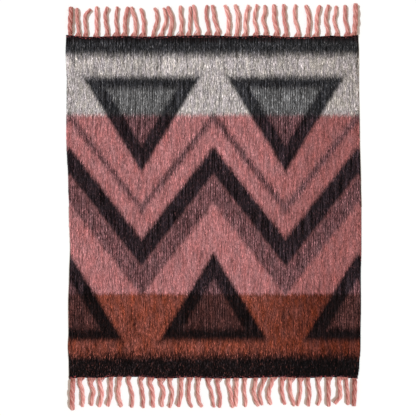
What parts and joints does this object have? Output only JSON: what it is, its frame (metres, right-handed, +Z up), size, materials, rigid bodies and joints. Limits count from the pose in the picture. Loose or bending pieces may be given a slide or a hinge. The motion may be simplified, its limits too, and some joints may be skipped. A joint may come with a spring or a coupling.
{
  "type": "throw blanket",
  "caption": "Flat rectangular throw blanket of brushed woven wool, with broad colour bands, a bold zigzag pattern and twisted fringe locks at both ends.",
  "frame": {"origin": "below the middle of the whole throw, on the surface that it lies on", "axes": "+X across the throw, +Y along its length towards the charcoal and pale grey end, +Z up from the surface"},
  "size_m": [1.3139, 1.805, 0.0204],
  "materials": {
    "brushed_wool": "brushed and felted wool weave, long soft nap running along the length, matt, in charcoal, pale grey, rose, rust and near black bands",
    "fringe_yarn": "soft twisted wool yarn, dusty pink, matt and a little fuzzy"
  },
  "bodies": {
    "root": {"cloth": "brushed_wool", "fringe_head": "fringe_yarn", "fringe_foot": "fringe_yarn"}
  },
  "joints": []
}
